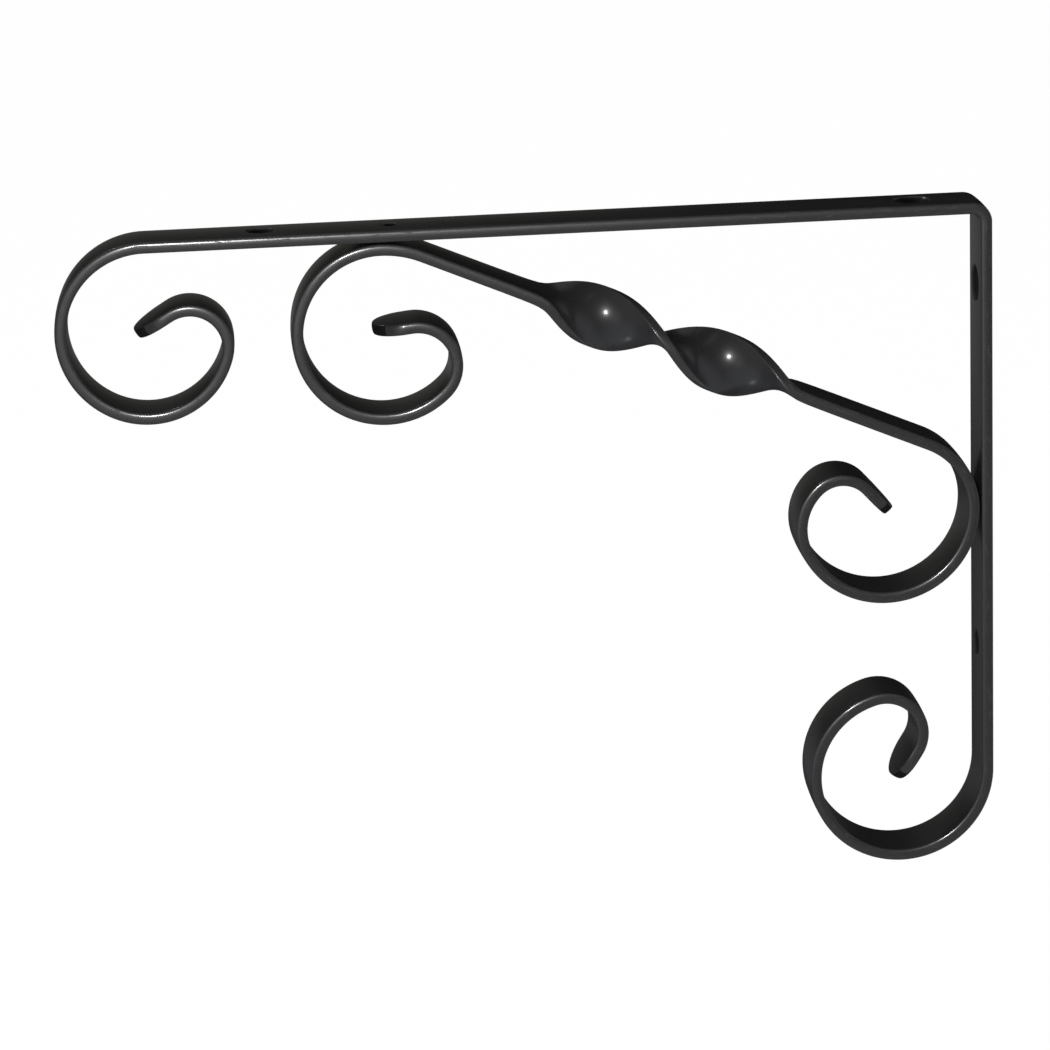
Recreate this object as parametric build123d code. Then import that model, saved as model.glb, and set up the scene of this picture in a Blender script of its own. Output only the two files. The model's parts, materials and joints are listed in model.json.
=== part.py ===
from build123d import *
import math
import os

# Scroll shelf bracket, millimetres. It is made of two flat steel bars, bent cold: one makes both
# arms and their end scrolls, the other is the twisted brace between them. The bars are drawn from
# the outer corner of the L, where the wall plane X = 0 meets the shelf plane Z = 0 on the mid-plane
# Y = 0, with the shelf arm towards -X. They are then raised, so that the finished bracket has its
# origin on the wall, midway between the two wall screws.

# ---- driving dimensions ----
REACH = 297.0            # wall face to the outside of the shelf arm's scroll
DROP = 219.0             # shelf face to the underside of the wall arm's scroll
BAR_W = 20.0             # flat bar, wide way, across the bracket
BAR_T = 4.0              # flat bar, thin way
EDGE_BREAK = 0.6         # break along the bar's four edges and round its ends
CORNER_R = 2.5           # inside of the corner bend
TIP_LENGTH = 12.5        # straight left at each bar end, with a full round end

# Scrolls: (centreline radius, degrees turned), from the straight bar in to the tip.
SHELF_SCROLL = [(27.5, 152.0), (26.0, 102.0), (12.0, 137.0)]
WALL_SCROLL = [(28.5, 152.0), (27.0, 102.0), (12.5, 138.0)]
UPPER_SCROLL = [(27.25, 224.0), (12.5, 142.0)]
LOWER_SCROLL = [(28.5, 154.0), (18.0, 72.0), (11.0, 92.0)]

# Brace: its upper scroll's crown lies under the shelf arm, its lower one against the wall arm.
BRACE_CROWN_X = -193.75  # crown of the upper scroll
BRACE_SLOPE = 23.4       # fall of the straight run, degrees
BRACE_TOP_R = 33.0       # bend from the upper crown into the run
BRACE_END_R = 23.7       # bend from the run into the lower scroll
TWIST_START = 42.0       # plain bar before the twist
TWIST_LENGTH = 84.5      # one whole turn, right-handed
TWIST_TURN = 360.0

# Screw holes: one bore, countersunk 90 degrees. The sink is larger beside the corner.
SCREW_R = 2.75
SINK_R_CORNER = 6.0
SINK_R_FAR = 4.5
SHELF_HOLES = {-24.5: SINK_R_CORNER, -231.0: SINK_R_FAR}   # X on the shelf arm
WALL_HOLES = {-28.0: SINK_R_CORNER, -148.0: SINK_R_FAR}    # Z on the wall arm

# Welds: a punched dimple whose boss is melted into the brace behind it.
WELD_GAP = 0.3           # left between the bars beside a weld
WELD_BITE = 0.4          # depth of the boss in the brace
WELD_R = 2.3             # boss
DIMPLE_R = 2.7           # mouth of the dimple
DIMPLE_FLOOR_R = 1.9
DIMPLE_DEPTH = 1.3
SHELF_WELD_X = -190.5    # a little to the corner's side of the crown

# ---- derived ----
ARM_END_X = -(REACH - BAR_T / 2 - SHELF_SCROLL[0][0])
WALL_END_Z = -(DROP - BAR_T / 2 - WALL_SCROLL[0][0])
CORNER_MID_R = CORNER_R + BAR_T / 2
CORNER_OUT_R = CORNER_R + BAR_T
CROWN_DEPTH = BAR_T + WELD_GAP + BAR_T / 2     # face of an arm to the brace's centreline


def section(point, heading):
    """The bar's section across its path; the heading turns from +X towards +Z."""
    travel = Vector(math.cos(math.radians(heading)), 0, math.sin(math.radians(heading)))
    across = Plane(origin=(point[0], 0, point[1]), x_dir=(0, 1, 0), z_dir=travel)
    return across, travel


def bar(start, heading, steps):
    """Form a bar step by step: ("run", length), ("bend", radius, angle), ("twist", length, angle)
    or ("tip", length). A positive angle turns from +X towards +Z."""
    x, z = start
    solid = Part()
    for step in steps:
        across, travel = section((x, z), heading)
        face = across * chamfer(Rectangle(BAR_W, BAR_T).vertices(), EDGE_BREAK)
        if step[0] == "run":
            solid += extrude(face, step[1])
            x, z = x + travel.X * step[1], z + travel.Z * step[1]
        elif step[0] == "bend":
            radius, angle = step[1], step[2]
            side = math.copysign(1.0, angle)
            centre = Vector(x, 0, z) + across.y_dir * radius * side
            axis = Axis(centre, (0, -side, 0))
            solid += revolve(face, axis, abs(angle))
            heading += angle
            turned = section((x, z), heading)[0]
            end = centre - turned.y_dir * radius * side
            x, z = end.X, end.Z
        elif step[0] == "twist":
            length, angle = step[1], step[2]
            solid += Solid.extrude_linear_with_rotation(
                face.face(), across.origin, travel * length, angle
            )
            x, z = x + travel.X * length, z + travel.Z * length
        else:
            solid += tip(across, step[1])
    return solid


def tip(across, length):
    """A bar end: a short straight with a full round, its edges broken like the rest."""
    flat = Plane(across.origin - across.y_dir * BAR_T / 2, x_dir=across.z_dir, z_dir=across.y_dir)
    straight = length - BAR_W / 2
    plan = Pos(straight / 2, 0) * Rectangle(straight, BAR_W) + Pos(straight, 0) * Circle(BAR_W / 2)
    plan = plan & Pos(length / 2, 0) * Rectangle(length, BAR_W)
    end = extrude(flat * plan, BAR_T)
    faces = end.faces().sort_by(Axis(across.origin, across.y_dir))
    rims = [edge for face in (faces[0], faces[-1]) for edge in face.edges()]
    rims = [edge for edge in rims if (edge.center() - across.origin).dot(across.z_dir) > 0.01]
    return chamfer(rims, EDGE_BREAK)


def scroll_steps(bends, side):
    """Bends of a scroll, all turning the same way, then the bar's end."""
    return [("bend", radius, side * angle) for radius, angle in bends] + [("tip", TIP_LENGTH)]


def screw_hole(sink_r):
    """A countersunk bore that opens upward at the origin."""
    depth = sink_r - SCREW_R
    sink = Pos(0, 0, -depth / 2) * Cone(SCREW_R, sink_r, depth)
    mouth = Pos(0, 0, 0.5) * Cylinder(sink_r, 1.0)
    bore = Cylinder(SCREW_R, 4 * BAR_T)
    return sink + mouth + bore


def dimple():
    """The punch's mark, opening upward at the origin."""
    return Pos(0, 0, -DIMPLE_DEPTH / 2) * Cone(DIMPLE_FLOOR_R, DIMPLE_R, DIMPLE_DEPTH)


def weld_boss():
    """What the punch pushes out behind the bar, down into the brace."""
    length = BAR_T / 2 + WELD_GAP + WELD_BITE
    return Pos(0, 0, -BAR_T / 2 - length / 2) * Cylinder(WELD_R, length)


def on_shelf(x):
    return Plane(origin=(x, 0, 0), x_dir=(1, 0, 0), z_dir=(0, 0, 1))


def on_wall_inside(z):
    return Plane(origin=(-BAR_T, 0, z), x_dir=(0, 1, 0), z_dir=(-1, 0, 0))


def on_wall_back(z):
    return Plane(origin=(0, 0, z), x_dir=(0, 1, 0), z_dir=(1, 0, 0))


def brace_run():
    """Length of the straight run that brings the lower crown against the wall arm, and the
    height of that crown."""
    slope = math.radians(BRACE_SLOPE)
    start_x = BRACE_CROWN_X + BRACE_TOP_R * math.sin(slope)
    start_z = -CROWN_DEPTH - BRACE_TOP_R * (1 - math.cos(slope))
    end_x = -CROWN_DEPTH - BRACE_END_R * (1 - math.sin(slope))
    length = (end_x - start_x) / math.cos(slope)
    crown_z = start_z - length * math.sin(slope) - BRACE_END_R * math.cos(slope)
    return length, crown_z


RUN_LENGTH, LOWER_CROWN_Z = brace_run()


def make_arm_bar():
    bend_start = (-CORNER_OUT_R, -BAR_T / 2)
    shelf_arm = bar(
        bend_start, 180.0,
        [("run", -CORNER_OUT_R - ARM_END_X)] + scroll_steps(SHELF_SCROLL, 1),
    )
    wall_arm = bar(
        bend_start, 0.0,
        [("bend", CORNER_MID_R, -90.0), ("run", -CORNER_OUT_R - WALL_END_Z)]
        + scroll_steps(WALL_SCROLL, -1),
    )
    body = shelf_arm + wall_arm
    for x, sink_r in SHELF_HOLES.items():
        body -= on_shelf(x) * screw_hole(sink_r)
    for z, sink_r in WALL_HOLES.items():
        body -= on_wall_inside(z) * screw_hole(sink_r)
    for face in (on_shelf(SHELF_WELD_X), on_wall_back(LOWER_CROWN_Z)):
        body = body + face * weld_boss() - face * dimple()
    return body


def make_brace():
    upper_crown = (BRACE_CROWN_X, -CROWN_DEPTH)
    upper = bar(upper_crown, 180.0, scroll_steps(UPPER_SCROLL, 1))
    lower = bar(
        upper_crown, 0.0,
        [
            ("bend", BRACE_TOP_R, -BRACE_SLOPE),
            ("run", TWIST_START),
            ("twist", TWIST_LENGTH, TWIST_TURN),
            ("run", RUN_LENGTH - TWIST_START - TWIST_LENGTH),
            ("bend", BRACE_END_R, BRACE_SLOPE - 90.0),
        ]
        + scroll_steps(LOWER_SCROLL, -1),
    )
    brace = upper + lower
    for face in (on_shelf(SHELF_WELD_X), on_wall_back(LOWER_CROWN_Z)):
        brace -= face * weld_boss()
    return brace


shelf_height = -sum(WALL_HOLES) / len(WALL_HOLES)
os.makedirs("parts", exist_ok=True)
for name, drawn in {"arm_bar": make_arm_bar(), "twisted_brace": make_brace()}.items():
    shape = Pos(0, 0, shelf_height) * drawn
    export_step(shape, "parts/" + name + ".step")
    size = shape.bounding_box()
    print(name, len(shape.solids()), "solid", round(shape.volume), "mm3",
          [round(v, 2) for v in (*size.min, *size.max)])
print("shelf face at Z", shelf_height, "brace run", round(RUN_LENGTH, 2))
print("lower crown at Z", round(LOWER_CROWN_Z + shelf_height, 2))
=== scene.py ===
# %% [markdown]
# # A scrolled shelf bracket in black paint
#
# The bracket is two flat steel bars, bent cold and welded to each other. One bar makes both arms of
# the L and the scroll at the end of each. The other is the brace: it has a scroll at each end and
# one whole twist in the middle. This lesson makes each bar the way a workshop does. It starts as a
# straight length, its ends are rounded, it is punched and countersunk, and only then is it twisted
# and bent. Geometry Nodes carry out those steps, so every size stays a named number.

import json
import math

import bmesh
import bpy
from mathutils import Matrix, Vector


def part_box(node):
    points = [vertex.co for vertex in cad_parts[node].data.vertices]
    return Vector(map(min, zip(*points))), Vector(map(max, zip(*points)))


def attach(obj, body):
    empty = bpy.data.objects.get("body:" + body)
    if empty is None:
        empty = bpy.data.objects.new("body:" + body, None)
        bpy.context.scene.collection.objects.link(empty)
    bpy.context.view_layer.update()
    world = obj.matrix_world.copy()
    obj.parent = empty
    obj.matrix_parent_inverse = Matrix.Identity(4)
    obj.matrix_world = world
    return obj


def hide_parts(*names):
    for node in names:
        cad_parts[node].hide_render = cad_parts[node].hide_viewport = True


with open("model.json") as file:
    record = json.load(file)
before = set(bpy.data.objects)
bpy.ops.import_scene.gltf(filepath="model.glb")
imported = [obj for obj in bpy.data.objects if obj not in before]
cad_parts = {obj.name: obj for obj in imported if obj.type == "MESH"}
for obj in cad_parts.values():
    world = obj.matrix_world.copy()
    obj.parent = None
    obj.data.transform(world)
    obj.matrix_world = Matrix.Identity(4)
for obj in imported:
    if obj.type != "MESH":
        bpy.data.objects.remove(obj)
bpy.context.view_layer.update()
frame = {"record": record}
scene = bpy.context.scene

# %% [markdown]
# ## Sizes
#
# The wall is the plane where the arm bar ends in X, and the shelf rests on its top in Z, so the
# corner of the L is read from the frame. A bender's list then says all about each scroll: a radius,
# measured to the middle of the bar, and the degrees that it turns. Writing the scrolls that way
# keeps them smooth, because each bend starts in the direction in which the last one stopped.

# %% Sizes
MM = 0.001
arm_low, arm_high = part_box("arm_bar")
CORNER = Vector((arm_high.x, 0, arm_high.z))
REACH = arm_high.x - arm_low.x
DROP = arm_high.z - arm_low.z
BAR_W = arm_high.y - arm_low.y
BAR_T = 4 * MM
CORNER_R = 2.5 * MM            # inside of the corner bend
TIP = 12.5 * MM                # straight at each bar end, with a full round end

SHELF_SCROLL = [(27.5 * MM, 152), (26 * MM, 102), (12 * MM, 137)]
WALL_SCROLL = [(28.5 * MM, 152), (27 * MM, 102), (12.5 * MM, 138)]
UPPER_SCROLL = [(27.25 * MM, 224), (12.5 * MM, 142)]
LOWER_SCROLL = [(28.5 * MM, 154), (18 * MM, 72), (11 * MM, 92)]

CROWN_X = -193.75 * MM         # where the brace's upper scroll touches the shelf arm
BRACE_SLOPE = 23.4             # fall of the straight run, degrees
BRACE_TOP_R = 33 * MM
BRACE_END_R = 23.7 * MM
TWIST_START = 42 * MM          # plain bar before the twist
TWIST_LENGTH = 84.5 * MM
WELD_GAP = 0.3 * MM            # the bars stand this far apart beside each weld
SHELF_WELD_X = -190.5 * MM     # the weld there, a little towards the wall from the touching place
print("reach", round(REACH, 4), "drop", round(DROP, 4), "bar", round(BAR_W, 4))

# %% [markdown]
# ## The middle line of each bar
#
# A path is drawn as a chain of short steps. A straight run needs few points, a bend needs one for
# every few degrees, and the twist and the rounded ends need them close together, because there the
# bar's section changes quickly. Both bars are drawn outwards from a place that is easy to know: the
# arm bar from the corner of the L, the brace from the crown that touches the shelf arm.

# %% Draw a path from runs and bends
BEND_STEP = 3.0                # degrees between points in a bend
RUN_STEP = 2 * MM
FINE_STEP = 0.7 * MM


def left_of(heading):
    """The direction square to a heading, on its left, in the plane Y = 0."""
    return Vector((-math.sin(heading), 0, math.cos(heading)))


def draw(start, heading, steps):
    """Points along a bar's middle in the plane Y = 0. A step is ("run", length, spacing) or
    ("bend", radius, degrees); headings and bends turn from +X towards +Z."""
    spot, heading = Vector(start), math.radians(heading)
    points = [spot.copy()]
    for kind, size, amount in steps:
        if kind == "run":
            ahead = Vector((math.cos(heading), 0, math.sin(heading)))
            count = math.ceil(size / amount)
            points += [spot + ahead * size * i / count for i in range(1, count + 1)]
        else:
            side = math.copysign(1, amount)
            count = math.ceil(abs(amount) / BEND_STEP)
            centre = spot + left_of(heading) * size * side
            for i in range(1, count + 1):
                now = heading + math.radians(amount) * i / count
                points.append(centre - left_of(now) * size * side)
            heading += math.radians(amount)
        spot = points[-1]
    return points


def scroll(bends, side):
    """A scroll's bends, all to one side, and the straight bar end."""
    turns = [("bend", radius, side * angle) for radius, angle in bends]
    return turns + [("run", TIP, FINE_STEP)]


def length_to(path, place):
    """Distance along a path to the point that lies nearest to a place."""
    walked, best = 0.0, (1.0, 0.0)
    for a, b in zip(path, path[1:]):
        leg = b - a
        share = min(max((place - a).dot(leg) / leg.length_squared, 0), 1)
        miss = (a + leg * share - place).length
        best = min(best, (miss, walked + leg.length * share))
        walked += leg.length
    return best[1]


# %% The arm bar's path
outside_r = CORNER_R + BAR_T
bend_start = CORNER - Vector((outside_r, 0, BAR_T / 2))
shelf_run = REACH - BAR_T / 2 - SHELF_SCROLL[0][0] - outside_r
wall_run = DROP - BAR_T / 2 - WALL_SCROLL[0][0] - outside_r
shelf_half = draw(bend_start, 180, [("run", shelf_run, RUN_STEP)] + scroll(SHELF_SCROLL, 1))
wall_half = draw(
    bend_start, 0,
    [("bend", CORNER_R + BAR_T / 2, -90), ("run", wall_run, RUN_STEP)] + scroll(WALL_SCROLL, -1),
)
arm_path = shelf_half[:0:-1] + wall_half
print("arm bar:", len(arm_path), "points,", round(length_to(arm_path, arm_path[-1]), 4), "long")

# %% The brace's path
slope = math.radians(BRACE_SLOPE)
crown_depth = BAR_T + WELD_GAP + BAR_T / 2
crown = CORNER + Vector((CROWN_X, 0, -crown_depth))
run_from = CROWN_X + BRACE_TOP_R * math.sin(slope)
run_to = -crown_depth - BRACE_END_R * (1 - math.sin(slope))
brace_run = (run_to - run_from) / math.cos(slope)
upper_half = draw(crown, 180, scroll(UPPER_SCROLL, 1))
lower_half = draw(
    crown, 0,
    [
        ("bend", BRACE_TOP_R, -BRACE_SLOPE),
        ("run", TWIST_START, RUN_STEP),
        ("run", TWIST_LENGTH, FINE_STEP),
        ("run", brace_run - TWIST_START - TWIST_LENGTH, RUN_STEP),
        ("bend", BRACE_END_R, BRACE_SLOPE - 90),
    ]
    + scroll(LOWER_SCROLL, -1),
)
brace_path = upper_half[:0:-1] + lower_half
twist_from = length_to(brace_path, crown) + BRACE_TOP_R * slope + TWIST_START
brace_length = length_to(brace_path, brace_path[-1])
print("brace:", len(brace_path), "points,", round(brace_length, 4), "long")
print("its straight run:", round(brace_run, 4), "with the twist from", round(twist_from, 4))


# %% Turn points into a curve
def curve_of(name, points, closed=False):
    """A curve object of one plain polyline."""
    data = bpy.data.curves.new(name, "CURVE")
    data.dimensions = "3D"
    line = data.splines.new("POLY")
    line.points.add(len(points) - 1)
    for point, place in zip(line.points, points):
        point.co = (*place, 1)
    line.use_cyclic_u = closed
    obj = bpy.data.objects.new(name, data)
    scene.collection.objects.link(obj)
    return obj


arm_line = curve_of("arm_bar_line", arm_path)
brace_line = curve_of("brace_line", brace_path)

# %% [markdown]
# ## The bar's section
#
# Flat bar comes from the rolling mill with a face that is a hair proud in the middle and narrow
# sides that bulge a little before they round over, and the paint softens the rounding once more.
# The light that runs along those sides is most of what the eye sees of a black bar. A plain bevel
# would catch it as an even stripe of one width, so the side is drawn by a rule instead: three arcs
# that join without a kink, a shallow one in the middle of the side, a tighter shoulder that gathers
# the light into a line, and a small corner that takes up whatever height is left. The points crowd
# together in the corner, where smooth shading would otherwise smear it over the flat.

# %% Draw the section
FACE_STEPS = 6                 # points across half a wide face
FACE_CROWN = 0.18 * MM         # how far the wide face rises towards its middle
# The arcs from the middle of the side outwards: radius, tilt in degrees where it ends, and steps.
# The last one has no radius of its own, as it takes up the height that is left.
SIDE_ARCS = [(8 * MM, 6, 2), (3 * MM, 20, 4), (None, 90, 6)]


def section_points():
    """One quarter of the section from its arcs, mirrored into the whole outline."""
    height = BAR_T / 2 - FACE_CROWN
    quarter, tilt = [(BAR_W / 2, 0.0)], 0.0
    for radius, end, steps in SIDE_ARCS:
        across, up = quarter[-1]
        radius = radius or (height - up) / (1 - math.sin(tilt))
        for i in range(1, steps + 1):
            turn = tilt + (math.radians(end) - tilt) * i / steps
            quarter.append((across - radius * (math.cos(tilt) - math.cos(turn)),
                            up + radius * (math.sin(turn) - math.sin(tilt))))
        tilt = math.radians(end)
    flat = quarter[-1][0]
    for i in range(FACE_STEPS - 1, -1, -1):
        y = flat * math.sin(math.pi / 2 * i / FACE_STEPS)
        quarter.append((y, height + FACE_CROWN * (1 - (y / flat) ** 2)))
    lower = [(y, -n) for y, n in quarter[1:]]
    right = quarter[::-1] + lower
    left = [(-y, n) for y, n in right[-2:0:-1]]
    return [(y, n, 0) for y, n in right + left]


section_line = curve_of("bar_section", section_points(), closed=True)
print("section:", len(section_line.data.splines[0].points), "points")

# %% [markdown]
# ## Helpers for building a node tree
#
# A node tree written by hand in Python is mostly two lines repeated: make a node, set or link its
# inputs. One small function does both, and takes either a plain value or the output of another
# node. With it, and short names for the most common nodes, a tree reads from top to bottom like
# steps in the workshop.

# %% Tree helpers
SOCKETS = {
    "float": "NodeSocketFloat", "vector": "NodeSocketVector", "object": "NodeSocketObject",
    "geometry": "NodeSocketGeometry", "material": "NodeSocketMaterial",
}
NODE_STEP = 190                # how far apart the nodes stand in the editor


def new_group(name, kind, inputs, outputs):
    """A node group with named inputs {name: (type, default)} and outputs {name: type}. Gives the
    tree and the sockets that the inputs arrive at."""
    tree = bpy.data.node_groups.new(name, kind)
    for label, (type_name, default) in inputs.items():
        socket = tree.interface.new_socket(label, in_out="INPUT", socket_type=SOCKETS[type_name])
        if default is not None:
            socket.default_value = default
    for label, type_name in outputs.items():
        tree.interface.new_socket(label, in_out="OUTPUT", socket_type=SOCKETS[type_name])
    return tree, tree.nodes.new("NodeGroupInput").outputs


def feed(tree, node, inputs):
    """Set a node's inputs. Each is named or numbered, and takes a value, another node's output or
    a list of outputs."""
    for label, value in inputs.items():
        for item in value if isinstance(value, list) else [value]:
            if isinstance(item, bpy.types.NodeSocket):
                tree.links.new(item, node.inputs[label])
            else:
                node.inputs[label].default_value = item


def put(tree, kind, inputs=None, **settings):
    """Add a node with its settings and inputs."""
    node = tree.nodes.new(kind)
    node.location.x = NODE_STEP * len(tree.nodes)
    for label, value in settings.items():
        setattr(node, label, value)
    feed(tree, node, inputs or {})
    return node


# %% Short names for common nodes
def calc(tree, operation, *values):
    """A number worked out by a Math node."""
    return put(tree, "ShaderNodeMath", dict(enumerate(values)), operation=operation).outputs[0]


def vector_calc(tree, operation, *values, **named):
    """A vector worked out by a Vector Math node."""
    inputs = dict(enumerate(values)) | named
    return put(tree, "ShaderNodeVectorMath", inputs, operation=operation).outputs[0]


def xyz(tree, x=0.0, y=0.0, z=0.0):
    """A vector from three numbers."""
    return put(tree, "ShaderNodeCombineXYZ", {0: x, 1: y, 2: z}).outputs[0]


def split(tree, vector):
    """The three numbers of a vector."""
    return put(tree, "ShaderNodeSeparateXYZ", {0: vector}).outputs


def ramp(tree, value, low, high):
    """0 below low, 1 above high, smooth between."""
    return put(tree, "ShaderNodeMapRange", {
        "Value": value, "From Min": low, "From Max": high, "To Min": 0.0, "To Max": 1.0,
    }, interpolation_type="SMOOTHSTEP").outputs[0]


def position(tree):
    """Where each point of a shape lies."""
    return put(tree, "GeometryNodeInputPosition").outputs[0]


def move(tree, shape, place):
    """Put each point of a shape at its place."""
    return put(tree, "GeometryNodeSetPosition", {"Geometry": shape, "Position": place}).outputs[0]


# %% [markdown]
# ## Step one: a straight length of bar
#
# To punch a bar it has to lie flat. The path's points are moved to their own distance along X,
# which uncoils the bar without losing their spacing, and the section is carried along that straight
# line.

# %% Straight bar
def straight_bar():
    tree, given = new_group(
        "straight_bar", "GeometryNodeTree",
        {"Path": ("geometry", None), "Section": ("object", None)}, {"Bar": "geometry"},
    )
    along = put(tree, "GeometryNodeSplineParameter").outputs["Length"]
    uncoiled = move(tree, given["Path"], xyz(tree, along))
    outline = put(tree, "GeometryNodeObjectInfo", {"Object": given["Section"]})
    bar = put(tree, "GeometryNodeCurveToMesh", {
        "Curve": uncoiled, "Profile Curve": outline.outputs["Geometry"],
    })
    outward = put(tree, "GeometryNodeFlipFaces", {"Mesh": bar.outputs["Mesh"]})
    put(tree, "NodeGroupOutput", {"Bar": outward.outputs["Mesh"]})
    return tree


# %% [markdown]
# ## Step two: round the ends
#
# Each end is cut to a full half circle. Near an end, a cross line of the bar swings round the
# centre of that half circle until it lies along the bar's middle. Its two halves then meet, and
# merging them closes the end with the same rounded edge as the sides.

# %% Round ends
MERGE = 0.01 * MM              # points closer than this become one


def round_ends():
    tree, given = new_group(
        "round_ends", "GeometryNodeTree",
        {"Bar": ("geometry", None), "Bar Length": ("float", 0.5), "End Radius": ("float", 0.01)},
        {"Bar": "geometry"},
    )
    length, radius = given["Bar Length"], given["End Radius"]
    s, y, n = split(tree, position(tree))
    from_end = calc(tree, "MINIMUM", s, calc(tree, "SUBTRACT", length, s))
    share = calc(tree, "MINIMUM", calc(tree, "DIVIDE", from_end, radius), 1.0)
    swing = calc(tree, "MULTIPLY", share, math.pi / 2)
    reach = calc(tree, "MULTIPLY", calc(tree, "ABSOLUTE", y), calc(tree, "COSINE", swing))
    beyond = calc(tree, "MAXIMUM", calc(tree, "SUBTRACT", from_end, radius), 0.0)
    new_end = calc(tree, "ADD", calc(tree, "SUBTRACT", radius, reach), beyond)
    # in the far half of the bar the same distance counts from the other end
    far = calc(tree, "GREATER_THAN", s, calc(tree, "MULTIPLY", length, 0.5))
    new_far = calc(tree, "SUBTRACT", length, new_end)
    shift = calc(tree, "MULTIPLY", far, calc(tree, "SUBTRACT", new_far, new_end))
    new_s = calc(tree, "ADD", new_end, shift)
    new_y = calc(tree, "MULTIPLY", y, calc(tree, "SINE", swing))
    rounded = move(tree, given["Bar"], xyz(tree, new_s, new_y, n))
    closed = put(tree, "GeometryNodeMergeByDistance", {"Geometry": rounded, "Distance": MERGE})
    put(tree, "NodeGroupOutput", {"Bar": closed.outputs["Geometry"]})
    return tree


# %% [markdown]
# ## Step three: the tools that punch and countersink
#
# A screw hole is a straight bore, a 90 degree countersink for the screw's head, and a narrow soft
# lip where the paint rolls over the edge. Its tool is turned like a part on a lathe: a cylinder of
# a few rings, each given its own height and radius, so that it is one closed solid and cuts
# cleanly. The bar is also dimpled at each weld. A punch pushes its mark in from one face and a boss
# out of the other, and the boss melts into the brace.

# %% A lathe
LATHE_SIDES = 64


def by_ring(tree, ring, values):
    """A number for each ring, lowest first."""
    choice = tree.nodes.new("GeometryNodeIndexSwitch")
    choice.data_type = "FLOAT"
    while len(choice.index_switch_items) < len(values):
        choice.index_switch_items.new()
    feed(tree, choice, {"Index": ring} | dict(enumerate(values, 1)))
    return choice.outputs[0]


def turned(tree, profile):
    """A closed solid turned about Z from (height, radius) pairs, lowest first."""
    last = len(profile) - 1
    blank = put(tree, "GeometryNodeMeshCylinder", {
        "Vertices": LATHE_SIDES, "Side Segments": last, "Radius": 1.0, "Depth": 1.0,
    })
    x, y, z = split(tree, position(tree))
    ring = calc(tree, "ROUND", calc(tree, "MULTIPLY", calc(tree, "ADD", z, 0.5), last))
    height, radius = (by_ring(tree, ring, values) for values in zip(*profile))
    place = xyz(tree, calc(tree, "MULTIPLY", x, radius), calc(tree, "MULTIPLY", y, radius), height)
    return move(tree, blank.outputs["Mesh"], place)


# %% The tools
OVER = 0.5 * MM                # how far a tool stands clear of the face it enters
LIP = 0.25 * MM                # width of the soft lip
LIP_SLOPE = math.tan(math.radians(20))


def lip_rings(tree, face, mouth):
    """The last two rings of a tool: where the lip starts, and where it leaves the bar."""
    depth = LIP / (1 / LIP_SLOPE - 1)
    return [
        (calc(tree, "SUBTRACT", face, depth), calc(tree, "SUBTRACT", mouth, depth)),
        (calc(tree, "ADD", face, OVER), calc(tree, "ADD", mouth, LIP + OVER / LIP_SLOPE)),
    ]


def tool_group(name, sizes, profile):
    """A tool as a group: its own sizes, and where along the bar and on which side it stands."""
    tree, given = new_group(
        name, "GeometryNodeTree",
        {"Distance": ("float", 0.0), "Side": ("float", 1.0), "Face": ("float", BAR_T / 2)}
        | {label: ("float", size) for label, size in sizes.items()},
        {"Tool": "geometry"},
    )
    values = [given[label] for label in ("Face", *sizes)]
    under = calc(tree, "LESS_THAN", given["Side"], 0.0)
    placed = put(tree, "GeometryNodeTransform", {
        "Geometry": turned(tree, profile(tree, *values)),
        "Translation": xyz(tree, given["Distance"]),
        "Rotation": xyz(tree, calc(tree, "MULTIPLY", under, math.pi)),
    })
    put(tree, "NodeGroupOutput", {"Tool": placed.outputs["Geometry"]})
    return tree


# %% The profile of each tool
def screw_profile(tree, face, bore, sink):
    sink_end = calc(tree, "SUBTRACT", face, calc(tree, "SUBTRACT", sink, bore))
    return [(-BAR_T, bore), (sink_end, bore), *lip_rings(tree, face, sink)]


def dimple_profile(tree, face, mouth, floor_r, depth):
    return [(calc(tree, "SUBTRACT", face, depth), floor_r), *lip_rings(tree, face, mouth)]


def boss_profile(tree, face, radius, height):
    end = calc(tree, "MULTIPLY", calc(tree, "ADD", face, height), -1.0)
    return [(end, radius), (0.0, radius)]


TOOLS = {
    "screw_tool": (screw_profile, {"Bore Radius": 2.75 * MM, "Sink Radius": 6 * MM}),
    "dimple_tool": (dimple_profile, {
        "Mouth Radius": 2.7 * MM, "Floor Radius": 1.9 * MM, "Depth": 1.3 * MM,
    }),
    "boss_tool": (boss_profile, {"Boss Radius": 2.3 * MM, "Height": 0.7 * MM}),
}
print("tools:", ", ".join(TOOLS))

# %% [markdown]
# ## Step four: twist, then bend
#
# Every point of the straight bar knows three numbers: how far along it lies, how far across, and
# how far up from the middle. They are kept as an attribute, because the paint needs them later. The
# twist turns the last two about the first, easing in and out over a few millimetres as cold steel
# does. Bending looks up the path's place and direction at that distance and puts the point there.

# %% Twist and bend
def twist_angle(tree, along, start, length, turn, ease):
    """How far the bar is twisted at a distance along it. The twist eases in and out."""
    past = calc(tree, "DIVIDE", calc(tree, "SUBTRACT", along, start), length)
    ease = calc(tree, "POWER", ease, 2.0)

    def soft(value):
        """The square root of value squared plus ease squared: a corner rounded off."""
        return calc(tree, "SQRT", calc(tree, "ADD", calc(tree, "MULTIPLY", value, value), ease))

    swept = calc(tree, "SUBTRACT", soft(past), soft(calc(tree, "SUBTRACT", past, 1.0)))
    return calc(tree, "MULTIPLY", calc(tree, "MULTIPLY_ADD", swept, 0.5, 0.5), turn)


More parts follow.
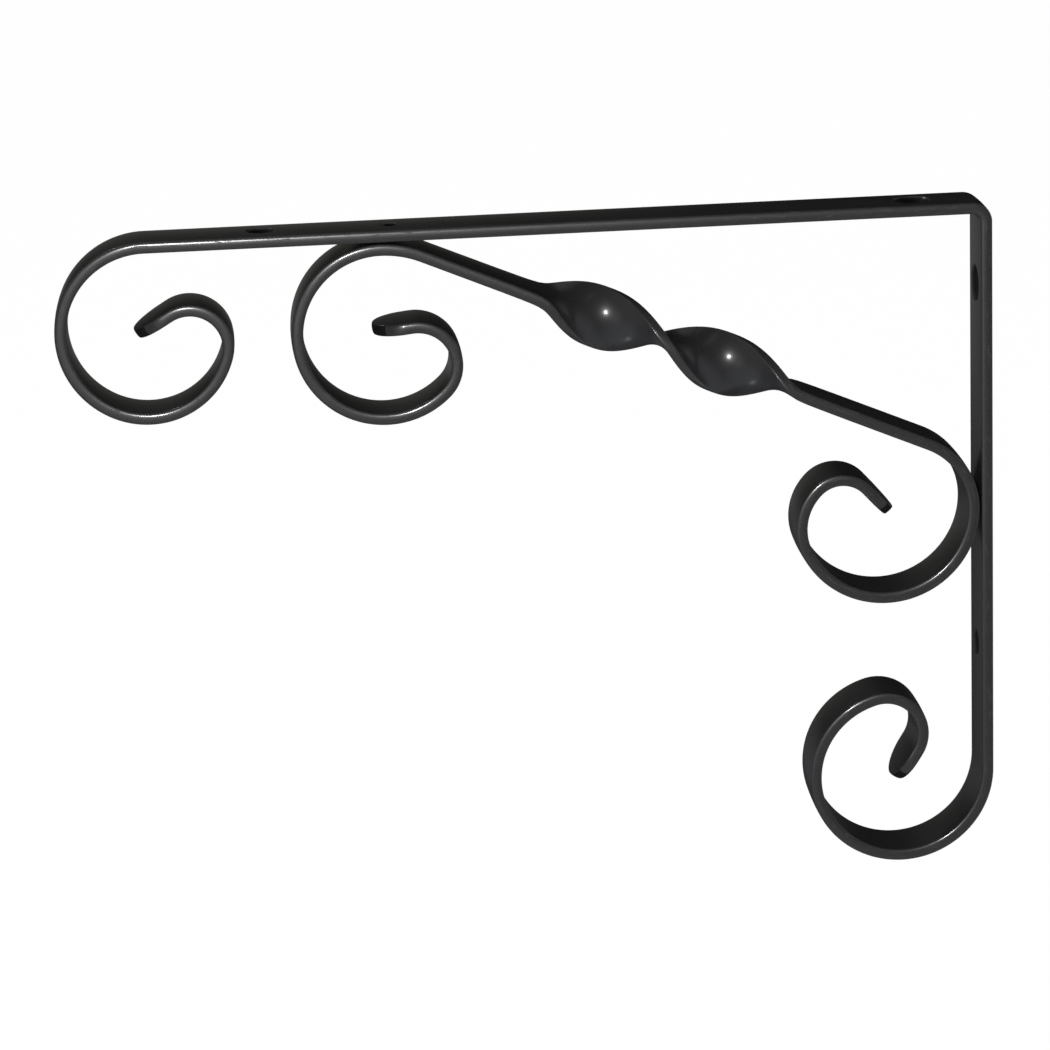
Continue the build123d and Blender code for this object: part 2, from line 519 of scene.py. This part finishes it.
def form_bar():
    tree, given = new_group(
        "form_bar", "GeometryNodeTree",
        {
            "Bar": ("geometry", None), "Path": ("geometry", None), "Twist Start": ("float", 0.0),
            "Twist Length": ("float", 1.0), "Twist Turn": ("float", 0.0), "Ease": ("float", 0.03),
        },
        {"Bar": "geometry"},
    )
    place = position(tree)
    kept = put(tree, "GeometryNodeStoreNamedAttribute", {
        "Geometry": given["Bar"], "Name": "bar_place", "Value": place,
    }, data_type="FLOAT_VECTOR", domain="POINT")
    s, y, n = split(tree, place)
    angle = twist_angle(tree, s, given["Twist Start"], given["Twist Length"],
                        given["Twist Turn"], given["Ease"])
    c, w = calc(tree, "COSINE", angle), calc(tree, "SINE", angle)
    across = calc(tree, "SUBTRACT", calc(tree, "MULTIPLY", y, c), calc(tree, "MULTIPLY", n, w))
    upward = calc(tree, "ADD", calc(tree, "MULTIPLY", n, c), calc(tree, "MULTIPLY", y, w))
    spot = put(tree, "GeometryNodeSampleCurve", {
        "Curves": given["Path"], "Length": s,
    }, mode="LENGTH", use_all_curves=True).outputs
    side = vector_calc(tree, "CROSS_PRODUCT", spot["Tangent"], (0, 1, 0))
    lifted = vector_calc(tree, "SCALE", vector_calc(tree, "NORMALIZE", side), Scale=upward)
    out = vector_calc(tree, "ADD", lifted, spot["Position"])
    out = vector_calc(tree, "ADD", out, xyz(tree, 0.0, across))
    put(tree, "NodeGroupOutput", {"Bar": move(tree, kept.outputs["Geometry"], out)})
    return tree


# %% [markdown]
# ## The whole bar as one tree
#
# The small groups above are the machines. This tree is the order of work for one bar, with a tool
# placed for each hole, and the same order of work makes both bars. At the end the edges that turn
# sharply are marked, so that smooth shading stops there, and the paint is put on.

# %% The machines
SHARP_ANGLE = math.radians(18)
GROUPS = {make.__name__: make() for make in (straight_bar, round_ends, form_bar)}
for name, (profile, sizes) in TOOLS.items():
    GROUPS[name] = tool_group(name, sizes, profile)
print("machines:", ", ".join(GROUPS))


def machine(tree, name, inputs):
    """Place one of the machines in a tree."""
    return put(tree, "GeometryNodeGroup", inputs, node_tree=GROUPS[name]).outputs[0]


def boolean(tree, operation, inputs):
    """Join tools to the bar, or cut them out of it."""
    settings = {"operation": operation, "solver": "EXACT"}
    return put(tree, "GeometryNodeMeshBoolean", inputs, **settings).outputs[0]


def smoothed(tree, bar, sharp_angle):
    """Smooth shading that stops at every edge that turns by more than the sharp angle."""
    fold = put(tree, "GeometryNodeInputMeshEdgeAngle").outputs["Unsigned Angle"]
    sharp = put(tree, "FunctionNodeCompare", {
        "A": fold, "B": sharp_angle,
    }, data_type="FLOAT", operation="GREATER_THAN").outputs[0]
    bar = put(tree, "GeometryNodeSetShadeSmooth", {
        "Geometry": bar, "Shade Smooth": True,
    }, domain="FACE").outputs[0]
    return put(tree, "GeometryNodeSetShadeSmooth", {
        "Geometry": bar, "Selection": sharp, "Shade Smooth": False,
    }, domain="EDGE").outputs[0]


# %% Order of work
def bar_tree(name, cuts, bosses):
    """The order of work for one bar. Cuts and bosses are (machine, its inputs)."""
    tree, given = new_group(
        name, "GeometryNodeTree",
        {
            "Geometry": ("geometry", None), "Path": ("object", None), "Section": ("object", None),
            "End Radius": ("float", BAR_W / 2), "Twist Start": ("float", 0.0),
            "Twist Length": ("float", 1.0), "Twist Turn": ("float", 0.0),
            "Sharp Angle": ("float", SHARP_ANGLE), "Paint": ("material", None),
        },
        {"Geometry": "geometry"},
    )
    path = put(tree, "GeometryNodeObjectInfo", {"Object": given["Path"]}).outputs["Geometry"]
    length = put(tree, "GeometryNodeCurveLength", {"Curve": path}).outputs[0]
    bar = machine(tree, "straight_bar", {"Path": path, "Section": given["Section"]})
    bar = machine(tree, "round_ends", {
        "Bar": bar, "Bar Length": length, "End Radius": given["End Radius"],
    })
    if bosses:
        bar = boolean(tree, "UNION", {
            "Mesh 2": [bar, *(machine(tree, *boss) for boss in bosses)],
        })
    if cuts:
        bar = boolean(tree, "DIFFERENCE", {
            "Mesh 1": bar, "Mesh 2": [machine(tree, *cut) for cut in cuts],
        })
    bar = machine(tree, "form_bar", {
        "Bar": bar, "Path": path, "Twist Start": given["Twist Start"],
        "Twist Length": given["Twist Length"], "Twist Turn": given["Twist Turn"],
    })
    bar = smoothed(tree, bar, given["Sharp Angle"])
    bar = put(tree, "GeometryNodeRealizeInstances", {"Geometry": bar}).outputs[0]
    bar = put(tree, "GeometryNodeSetMaterial", {"Geometry": bar, "Material": given["Paint"]})
    put(tree, "NodeGroupOutput", {"Geometry": bar.outputs[0]})
    return tree


# %% [markdown]
# ## Where the holes go
#
# The screws' places come from the record, so the holes that show are the ones a fitter would use.
# The countersink beside the corner is wider than the far one. Both sinks on the shelf arm open
# upwards and both on the wall arm open to the inside. A distance along the bar is all that a tool
# needs, because the bar is still straight when it is punched. The two bars are welded by
# projection: a punch presses a dimple into the arm from its free side, the small boss that comes up
# on the other side touches the brace, and the current melts it there. So each weld shows as a
# shallow dimple only.

# %% Holes and welds
mounts = {mount["name"]: mount for mount in frame["record"]["mounts"]}
SINK_R = (6 * MM, 4.5 * MM)    # beside the corner, and far from it
# each screw pattern: the way it runs, and the side of the bar that its sinks open to
SCREWS = {
    "shelf_screws": (Vector((1, 0, 0)), 1.0),
    "wall_screws": (Vector((0, 0, 1)), -1.0),
}
SHELF_WELD = CORNER + Vector((SHELF_WELD_X, 0, -BAR_T / 2))
WALL_WELD = Vector((CORNER.x - BAR_T / 2, 0, max(brace_path, key=lambda spot: spot.x).z))


def screw_places(name, along):
    """The two middles of a screw pattern, the one nearer the corner first."""
    mount = mounts[name]
    spacing = next(v for k, v in mount["dims"].items() if k.startswith("spacing")) * MM
    middle = Vector(mount["pos_m"])
    places = [middle + along * spacing / 2 * sign for sign in (1, -1)]
    return sorted(places, key=lambda place: (place - CORNER).length)


cuts, bosses = [], []
for name, (along, side) in SCREWS.items():
    bore = mounts[name]["dims"]["hole_r_mm"] * MM
    for place, sink in zip(screw_places(name, along), SINK_R):
        cuts.append(("screw_tool", {
            "Distance": length_to(arm_path, place), "Side": side,
            "Bore Radius": bore, "Sink Radius": sink,
        }))
for place in (SHELF_WELD, WALL_WELD):
    distance = length_to(arm_path, place)
    cuts.append(("dimple_tool", {"Distance": distance, "Side": 1.0}))
    bosses.append(("boss_tool", {"Distance": distance, "Side": 1.0}))
print("wall weld at", round(WALL_WELD.z, 5))
print("holes and dimples at", [round(values["Distance"], 4) for _, values in cuts])

# %% [markdown]
# ## Orange peel
#
# Sprayed gloss paint never dries quite flat. It pulls itself into low smooth hills a millimetre or
# two across, a few microns high, which painters call orange peel, over slower waves left by the bar
# underneath. Nobody sees the hills: they see the lamp's reflection break into beads along an edge.
# It could be an image wrapped round the bar, but an image stretches in the bends. Noise in space
# has no seam, so this group adds two noises, one per size of hill, and puts out a height in metres.

# %% Orange peel group
def hills(tree, place, across, height):
    """Smooth noise in space: hills of this width and height, in metres."""
    noise = put(tree, "ShaderNodeTexNoise", {
        "Vector": place, "Scale": calc(tree, "DIVIDE", 1.0, across), "Detail": 1.0,
        "Roughness": 0.35,
    })
    return calc(tree, "MULTIPLY", calc(tree, "SUBTRACT", noise.outputs["Fac"], 0.5), height)


def orange_peel():
    tree, given = new_group("orange_peel", "ShaderNodeTree", {
        "Place": ("vector", None),
        "Hill": ("float", 1.3 * MM), "Hill Height": ("float", 0.012 * MM),
        "Wave": ("float", 9 * MM), "Wave Height": ("float", 0.05 * MM),
    }, {"Height": "float"})
    small = hills(tree, given["Place"], given["Hill"], given["Hill Height"])
    slow = hills(tree, given["Place"], given["Wave"], given["Wave Height"])
    put(tree, "NodeGroupOutput", {"Height": calc(tree, "ADD", small, slow)})
    return tree


# %% [markdown]
# ## Edges, dust, handling, and painted shade in the holes
#
# Wet paint runs away from a sharp edge, so along the four edges of the bar the coat is thinner and
# a shade lighter, and boxes and hands have scuffed it there in short broken strokes. The bars carry
# their own measure for this: the tree wrote at every point how far it lies along the bar, across it
# and up from its middle, so the edges are where across is near half the width. The same measure
# finds the walls of the holes and dimples, which lie deeper than the faces: there the colour is a
# painted shade, near black, and the gloss is made duller. Dust settles on what faces up, as a thin
# film and in specks. Fingers leave dull patches, which only change how rough the gloss is.

# %% Edge group
def edges_and_hole_shade():
    tree, given = new_group("edges_and_hole_shade", "ShaderNodeTree", {
        "Bar Place": ("vector", None), "Half Width": ("float", BAR_W / 2),
        "Half Thickness": ("float", BAR_T / 2), "Reach": ("float", 1.2 * MM),
        "Stroke": ("float", 6 * MM), "Across Scale": ("float", 400.0),
        "Up Scale": ("float", 900.0), "Level": ("float", 0.55), "Softness": ("float", 0.08),
        "Shade Start Depth": ("float", 0.2 * MM), "Full Shade Depth": ("float", 0.7 * MM),
        "Face Share": ("float", 0.8),
    }, {"Edge": "float", "Scuffs": "float", "Inside": "float"})
    s, y, n = split(tree, given["Bar Place"])
    half = given["Half Width"]
    across = calc(tree, "ABSOLUTE", y)
    edge = ramp(tree, across, calc(tree, "SUBTRACT", half, given["Reach"]), half)
    strokes = xyz(
        tree, calc(tree, "DIVIDE", s, given["Stroke"]),
        calc(tree, "MULTIPLY", y, given["Across Scale"]),
        calc(tree, "MULTIPLY", n, given["Up Scale"]),
    )
    noise = put(tree, "ShaderNodeTexNoise", {
        "Vector": strokes, "Scale": 1.0, "Detail": 4.0, "Roughness": 0.65,
    }).outputs["Fac"]
    level = given["Level"]
    worn = ramp(tree, noise, level, calc(tree, "ADD", level, given["Softness"]))
    # painted shade: the walls of holes and dimples, deeper than the faces, are masked here so the
    # paint turns near black there
    depth = calc(tree, "SUBTRACT", given["Half Thickness"], calc(tree, "ABSOLUTE", n))
    # the sides are as far from the face as a hole's wall is, so they have to be left out
    on_face = calc(tree, "LESS_THAN", across, calc(tree, "MULTIPLY", half, given["Face Share"]))
    deep = ramp(tree, depth, given["Shade Start Depth"], given["Full Shade Depth"])
    put(tree, "NodeGroupOutput", {
        "Edge": edge, "Scuffs": calc(tree, "MULTIPLY", worn, edge),
        "Inside": calc(tree, "MULTIPLY", deep, on_face),
    })
    return tree


# %% Dust group
SETTLES = (0.2, 0.95)          # how far up a face looks where dust starts to lie, and lies fully
FILM_NOISE = (0.35, 0.7)       # where a film of dust starts, and is full
HANDLED_NOISE = (0.42, 0.62)   # where a finger's patch starts, and is full


def dust():
    tree, given = new_group("dust", "ShaderNodeTree", {
        "Place": ("vector", None), "Normal": ("vector", None), "Cell": ("float", 0.9 * MM),
        "Speck Radius": ("float", 0.34), "Speck Edge": ("float", 0.2), "Share": ("float", 0.2),
        "On Sides": ("float", 0.25), "On Top": ("float", 0.75), "Patch": ("float", 24 * MM),
    }, {"Specks": "float", "Film": "float", "Handling": "float"})
    upwards = ramp(tree, split(tree, given["Normal"])["Z"], *SETTLES)
    cells = put(tree, "ShaderNodeTexVoronoi", {
        "Vector": given["Place"], "Scale": calc(tree, "DIVIDE", 1.0, given["Cell"]),
        "Randomness": 1.0,
    }).outputs
    within = calc(tree, "SUBTRACT", given["Speck Radius"], cells["Distance"])
    near = ramp(tree, within, 0.0, given["Speck Edge"])
    chosen = calc(tree, "LESS_THAN", split(tree, cells["Color"])["X"], given["Share"])
    settled = calc(tree, "MULTIPLY_ADD", upwards, given["On Top"], given["On Sides"])
    patches = put(tree, "ShaderNodeTexNoise", {
        "Vector": given["Place"], "Scale": calc(tree, "DIVIDE", 1.0, given["Patch"]),
        "Detail": 3.0, "Roughness": 0.55,
    }).outputs["Fac"]
    put(tree, "NodeGroupOutput", {
        "Specks": calc(tree, "MULTIPLY", calc(tree, "MULTIPLY", near, chosen), settled),
        "Film": calc(tree, "MULTIPLY", ramp(tree, patches, *FILM_NOISE), upwards),
        "Handling": ramp(tree, patches, *HANDLED_NOISE),
    })
    return tree


# %% [markdown]
# ## Black paint
#
# One coat of stoving paint covers both bars, welds and all. A lamp in it shows as a small hard spot
# with a wide faint glow round it. One gloss cannot do both: a sharp one loses the glow and a dull
# one loses the spot. So the paint is built as it dries. The base is black pigment under a broad,
# weak sheen, which takes the orange peel, and over it lies a thin clear skin with a sharp
# reflection. The scuffs thin that skin, which is what breaks the bright line along an edge into
# dashes. Pure black would look like a hole and not like a thing, so the pigment keeps a little
# grey.

# %% Colours and gloss of the paint
BLACK = (0.026, 0.0262, 0.0272, 1)
THIN = (0.030, 0.030, 0.0305, 1)         # where the coat is thin
SCUFF = (0.058, 0.057, 0.054, 1)
DUST = (0.085, 0.080, 0.069, 1)
SCALE = (0.006, 0.006, 0.006, 1)         # painted shade, near black, on the walls of holes and dimples
# What lies over the black, in order: its mask, how much of it shows, and its colour.
LAYERS = (
    ("Edge", 0.6, THIN), ("Film", 0.06, DUST), ("Specks", 0.5, DUST), ("Scuffs", 0.5, SCUFF),
    # painted shade: the last layer turns the walls of holes and dimples near black
    ("Inside", 1.0, SCALE),
)
SHEEN_ROUGH = 0.35                       # roughness of the broad sheen
DULLED = (("Handling", 0.04), ("Scuffs", 0.10), ("Specks", 0.15), ("Inside", 0.3))
SHEEN_LEVEL = 0.22
SKIN, SKIN_SCUFFED = 0.6, -0.5           # weight of the clear skin, and what a scuff takes away
SKIN_ROUGH = 0.17
PAINT_IOR = 1.5
MIX_FACTOR, MIX_FIRST, MIX_SECOND, MIX_RESULT = 0, 6, 7, 2    # a Mix node's sockets for colours


def pigment(tree, masks):
    """The black, with every layer that changes its colour."""
    colour = BLACK
    for name, share, layer in LAYERS:
        shown = calc(tree, "MULTIPLY", masks[name], share)
        colour = put(tree, "ShaderNodeMix", {
            MIX_FACTOR: shown, MIX_FIRST: colour, MIX_SECOND: layer,
        }, data_type="RGBA").outputs[MIX_RESULT]
    return colour


def sheen_roughness(tree, masks):
    """The sheen's roughness, and what each mask adds to it."""
    rough = SHEEN_ROUGH
    for name, added in DULLED:
        rough = calc(tree, "MULTIPLY_ADD", masks[name], added, rough)
    return rough


def skin_weight(tree, masks):
    """The clear skin, thinner in the scuffs and gone inside a hole."""
    left = calc(tree, "MULTIPLY_ADD", masks["Scuffs"], SKIN_SCUFFED, SKIN)
    return calc(tree, "MULTIPLY", left, calc(tree, "SUBTRACT", 1.0, masks["Inside"]))


# %% Paint
def black_paint():
    paint = bpy.data.materials.new("black_paint_finish")
    paint.use_nodes = True
    tree = paint.node_tree

    def group(made, inputs):
        return put(tree, "ShaderNodeGroup", inputs, node_tree=made).outputs

    place = put(tree, "ShaderNodeTexCoord").outputs["Object"]
    normal = put(tree, "ShaderNodeNewGeometry").outputs["Normal"]
    bar_place = put(tree, "ShaderNodeAttribute", attribute_name="bar_place").outputs["Vector"]
    peel = group(orange_peel(), {"Place": place})["Height"]
    edges = group(edges_and_hole_shade(), {"Bar Place": bar_place})
    dirt = group(dust(), {"Place": place, "Normal": normal})
    masks = {socket.name: socket for socket in (*edges, *dirt)}
    bump = put(tree, "ShaderNodeBump", {"Height": peel, "Strength": 1.0, "Distance": 1.0})
    feed(tree, tree.nodes["Principled BSDF"], {
        "Base Color": pigment(tree, masks), "Roughness": sheen_roughness(tree, masks),
        "IOR": PAINT_IOR, "Specular IOR Level": SHEEN_LEVEL, "Normal": bump.outputs["Normal"],
        "Coat Weight": skin_weight(tree, masks), "Coat Roughness": SKIN_ROUGH,
        "Coat IOR": PAINT_IOR,
    })
    return paint


paint = black_paint()
print("paint:", len(paint.node_tree.nodes), "nodes")

# %% [markdown]
# ## Making the bars
#
# Now both trees run. Their inputs are set by each socket's identifier before anything is evaluated,
# the finished shape is copied into a plain mesh, and the modifier goes, so what the frame receives
# is ordinary geometry. The section curve and the paths were patterns, and are cleared away like a
# jig. Each bar takes the place of the plain solid of the same name, and both ride on the one body.

# %% Make the bars
def make_bar(name, line, tree, values):
    """Run a bar's tree and turn the result into a plain mesh with the paint on it."""
    piece = bpy.data.objects.new(name, bpy.data.meshes.new(name))
    scene.collection.objects.link(piece)
    work = piece.modifiers.new("order_of_work", "NODES")
    work.node_group = tree
    items = tree.interface.items_tree
    sockets = {item.name: item.identifier for item in items if item.in_out == "INPUT"}
    given = {"Path": line, "Section": section_line, "Paint": paint} | values
    for label, value in given.items():
        work[sockets[label]] = value
    ready = piece.evaluated_get(bpy.context.evaluated_depsgraph_get())
    mesh = bpy.data.meshes.new_from_object(ready)
    piece.modifiers.remove(work)
    mesh.name = name
    # the tools have no paint, so the booleans leave an empty slot beside it
    mesh.materials.clear()
    mesh.materials.append(paint)
    mesh.polygons.foreach_set("material_index", [0] * len(mesh.polygons))
    piece.data = mesh
    return piece


arm_work, brace_work = bar_tree("arm_bar_work", cuts, bosses), bar_tree("brace_work", [], [])
arm_piece = make_bar("arm_bar_painted", arm_line, arm_work, {})
brace_piece = make_bar("twisted_brace_painted", brace_line, brace_work, {
    "Twist Start": twist_from, "Twist Length": TWIST_LENGTH, "Twist Turn": 2 * math.pi,
})
for piece, node in ((arm_piece, "arm_bar"), (brace_piece, "twisted_brace")):
    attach(piece, "root")
    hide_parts(node)
    print(piece.name, len(piece.data.polygons), "faces,", len(piece.data.materials), "materials")
for line in (arm_line, brace_line, section_line):
    bpy.data.objects.remove(line)

# %% [markdown]
# ## Camera
#
# The bracket is seen from a little above and a little to the left, from rather more than a metre
# away, through a long lens, so that its lines stay nearly parallel. The camera is placed on a
# sphere round the object by two angles, which is easier to judge than three coordinates. Like one
# held by hand, it rolls by two degrees, and its aim passes just beside the middle. The aim is kept
# as two small slopes and the lens isn't shifted, so every other view of the part uses the same
# plain camera.

# %% Camera
VIEW_AT = Vector((-150 * MM, 0, -11 * MM))
VIEW_FROM = (-4.03, 15.26)     # azimuth and elevation of the camera, degrees
VIEW_DISTANCE = 1.282
VIEW_ROLL = -1.958             # degrees
AIM_OFF = (0.000561, 0.001064)    # slopes by which the aim passes left of VIEW_AT and below it
SENSOR, LENS = 36, 136.526     # millimetres


def aim_camera():
    azimuth, elevation, roll = (math.radians(angle) for angle in (*VIEW_FROM, VIEW_ROLL))
    back = Vector((
        math.sin(azimuth) * math.cos(elevation), -math.cos(azimuth) * math.cos(elevation),
        math.sin(elevation),
    ))
    level = (-back).cross(Vector((0, 0, 1))).normalized()
    upright = level.cross(-back)
    right = level * math.cos(roll) + upright * math.sin(roll)
    up = upright * math.cos(roll) - level * math.sin(roll)
    ahead = (-back - right * AIM_OFF[0] - up * AIM_OFF[1]).normalized()
    right = (right - ahead * right.dot(ahead)).normalized()
    up = right.cross(ahead)
    data = bpy.data.cameras.new("camera")
    data.sensor_width, data.lens = SENSOR, LENS
    camera = bpy.data.objects.new("camera", data)
    turn = Matrix((right, up, -ahead)).transposed().to_4x4()
    camera.matrix_world = Matrix.Translation(VIEW_AT + back * VIEW_DISTANCE) @ turn
    scene.collection.objects.link(camera)
    scene.camera = camera


aim_camera()
print("camera at", tuple(round(v, 3) for v in scene.camera.matrix_world.translation))

# %% [markdown]
# ## Room and floor
#
# The bracket stands alone on white. The white comes from the backdrop and the floor and never from
# more light on the object: a ray that comes straight from the camera, off metal or through glass
# sees white, and every other ray sees a dim room and a matt, pale floor. The floor keeps a share of
# its own shading even when it is seen directly, so the shadow of the bracket would still show on
# it.

# %% Room and floor
scene.view_settings.view_transform = "Standard"
ROOM_FILL = 0.1                # what the room gives to every ray that doesn't see white
FLOOR_Z = -0.42
FLOOR_SIZE = 12.0
FLOOR_GREY = (0.9, 0.9, 0.9, 1)
FLOOR_WHITE = 1.05
FLOOR_SEEN = 0.94              # share of plain white in a floor that is seen directly


def seen_directly(tree):
    """1 where a ray comes straight from the camera, or off metal or through glass."""
    rays = put(tree, "ShaderNodeLightPath").outputs
    seen = calc(tree, "MAXIMUM", rays["Is Camera Ray"], rays["Is Glossy Ray"])
    return calc(tree, "MAXIMUM", seen, rays["Is Transmission Ray"])


def white_world():
    world = bpy.data.worlds.new("white_room")
    world.use_nodes = True
    tree = world.node_tree
    level = calc(tree, "MULTIPLY_ADD", seen_directly(tree), 1 - ROOM_FILL, ROOM_FILL)
    feed(tree, tree.nodes["Background"], {"Color": (1, 1, 1, 1), "Strength": level})
    scene.world = world


def bare_material(name):
    """A material that waits for its shader, and its node tree."""
    material = bpy.data.materials.new(name)
    material.use_nodes = True
    tree = material.node_tree
    tree.nodes.remove(tree.nodes["Principled BSDF"])
    return material, tree


def plane(name, size, height):
    """A square facing upwards, as a stage object."""
    half = size / 2
    mesh = bpy.data.meshes.new(name)
    corners = [(x * half, y * half, height) for x, y in ((-1, -1), (1, -1), (1, 1), (-1, 1))]
    mesh.from_pydata(corners, [], [(0, 1, 2, 3)])
    obj = bpy.data.objects.new(name, mesh)
    scene.collection.objects.link(obj)
    return obj


def pale_floor():
    pale, tree = bare_material("pale_floor")
    matt = put(tree, "ShaderNodeBsdfDiffuse", {"Color": FLOOR_GREY})
    white = put(tree, "ShaderNodeEmission", {"Color": (1, 1, 1, 1), "Strength": FLOOR_WHITE})
    share = calc(tree, "MULTIPLY", seen_directly(tree), FLOOR_SEEN)
    mixed = put(tree, "ShaderNodeMixShader", {0: share, 1: matt.outputs[0], 2: white.outputs[0]})
    feed(tree, tree.nodes["Material Output"], {"Surface": mixed.outputs[0]})
    plane("floor", FLOOR_SIZE, FLOOR_Z).data.materials.append(pale)


white_world()
pale_floor()

# %% [markdown]
# ## A room for the reflections
#
# Gloss black paint has almost no colour of its own: it shows the room. In a white room it would
# turn pale grey, so a studio hangs dark felt round such a thing and leaves only a few pale areas
# open. Here the felt is a ball that nothing but a reflection can see. It casts no shadow and gives
# no light to anything matt. Its grey is a sum of soft patches: lighter ones in front, over the
# floor there, above and on the right, a small cool spot under the bracket, and a low warm glow
# behind, which the wide faces catch when they are seen edge on. Each patch is a direction, two
# cosines that say how wide and how soft it is, and a colour.

# %% Felt
FELT_R = 2.2
FELT_FINENESS = 5              # times that the ball's faces are divided
FELT_CLEAR = 0.01              # how far it stays above the floor
FELT_GREY = (0.012, 0.012, 0.012)
# Each patch: its direction from the object, the cosines where it starts and is full, its colour.
PATCHES = [
    ((0.0, -0.95, -0.30), 0.0, 0.6, (0.03, 0.03, 0.03)),      # the room in front
    ((-0.32, -0.92, -0.25), 0.93, 1.0, (0.46, 0.46, 0.455)),  # lighter towards its left
    ((0.05, -0.5, -0.87), 0.6, 0.95, (0.28, 0.29, 0.315)),    # the floor in front
    ((0.0, 0.0, -1.0), 0.0, 0.3, (0.022, 0.022, 0.026)),      # the rest of the floor
    ((0.0, 0.0, -1.0), 0.5, 0.9, (0.070, 0.072, 0.082)),      # straight below
    ((0.11, 0.06, -0.99), 0.990, 0.999, (1.5, 1.6, 1.8)),     # a small cool spot down there
    ((-0.1, -0.15, 0.98), 0.88, 0.97, (0.34, 0.34, 0.35)),    # overhead
    ((1.0, 0.0, 0.0), 0.5, 0.9, (0.40, 0.41, 0.44)),          # to the right
    ((-1.0, 0.0, 0.0), 0.5, 0.9, (0.20, 0.20, 0.20)),         # to the left
    ((-0.15, 0.62, 0.77), 0.9, 0.99, (0.26, 0.26, 0.255)),    # high up behind
    ((-0.05, 1.0, 0.0), 0.966, 0.99, (0.140, 0.136, 0.122)),  # low behind, a little warm
    ((-0.36, 0.86, -0.36), 0.92, 0.98, (0.066, 0.066, 0.069)),    # low behind to the left
]


def felt_cloth():
    """Felt whose grey is a sum of soft patches, each round its own direction from the object."""
    cloth, tree = bare_material("felt")
    place = put(tree, "ShaderNodeNewGeometry").outputs["Position"]
    toward = vector_calc(tree, "NORMALIZE", vector_calc(tree, "SUBTRACT", place, VIEW_AT))
    total = FELT_GREY
    for direction, start, full, colour in PATCHES:
        near = put(tree, "ShaderNodeVectorMath", {
            0: toward, 1: Vector(direction).normalized(),
        }, operation="DOT_PRODUCT").outputs["Value"]
        patch = vector_calc(tree, "SCALE", colour, Scale=ramp(tree, near, start, full))
        total = vector_calc(tree, "ADD", patch, total)
    lit = put(tree, "ShaderNodeEmission", {"Color": total, "Strength": 1.0})
    feed(tree, tree.nodes["Material Output"], {"Surface": lit.outputs[0]})
    return cloth


def felt_room():
    """A ball of felt, flattened onto the floor, which only reflections see."""
    mesh = bpy.data.meshes.new("felt")
    work = bmesh.new()
    bmesh.ops.create_icosphere(work, subdivisions=FELT_FINENESS, radius=FELT_R)
    for point in work.verts:
        point.co.z = max(point.co.z, FLOOR_Z + FELT_CLEAR)
    work.to_mesh(mesh)
    work.free()
    felt = bpy.data.objects.new("felt", mesh)
    scene.collection.objects.link(felt)
    for kind in ("camera", "diffuse", "transmission", "volume_scatter", "shadow"):
        setattr(felt, "visible_" + kind, False)
    mesh.materials.append(felt_cloth())


felt_room()
print("felt:", len(PATCHES), "patches")

# %% [markdown]
# ## Lamps
#
# One small lamp stands behind the camera, a little to its left and a little lower, like a flash
# held out by hand. It lights the narrow sides that face the viewer and puts the hard spots on the
# twist. The second is wide and weak and stands high up behind on the left. From the front it hardly
# tells, but it models the far sides when the bracket is turned.

# %% Lamps
def lamp(name, place, size, power):
    """A round lamp that looks at the object. Size in metres, power in watts."""
    data = bpy.data.lights.new(name, "AREA")
    data.shape, data.size, data.energy = "DISK", size, power
    obj = bpy.data.objects.new(name, data)
    obj.location = place
    obj.rotation_mode = "QUATERNION"
    obj.rotation_quaternion = (VIEW_AT - Vector(place)).to_track_quat("-Z", "Y")
    obj.visible_camera = False
    scene.collection.objects.link(obj)
    print("lamp", name, "at", place, "with", power, "W")


lamp("flash", place=(-0.32, -1.5, 0.20), size=0.05, power=14)
lamp("left_behind", place=(-1.0, 1.1, 1.5), size=0.4, power=4)
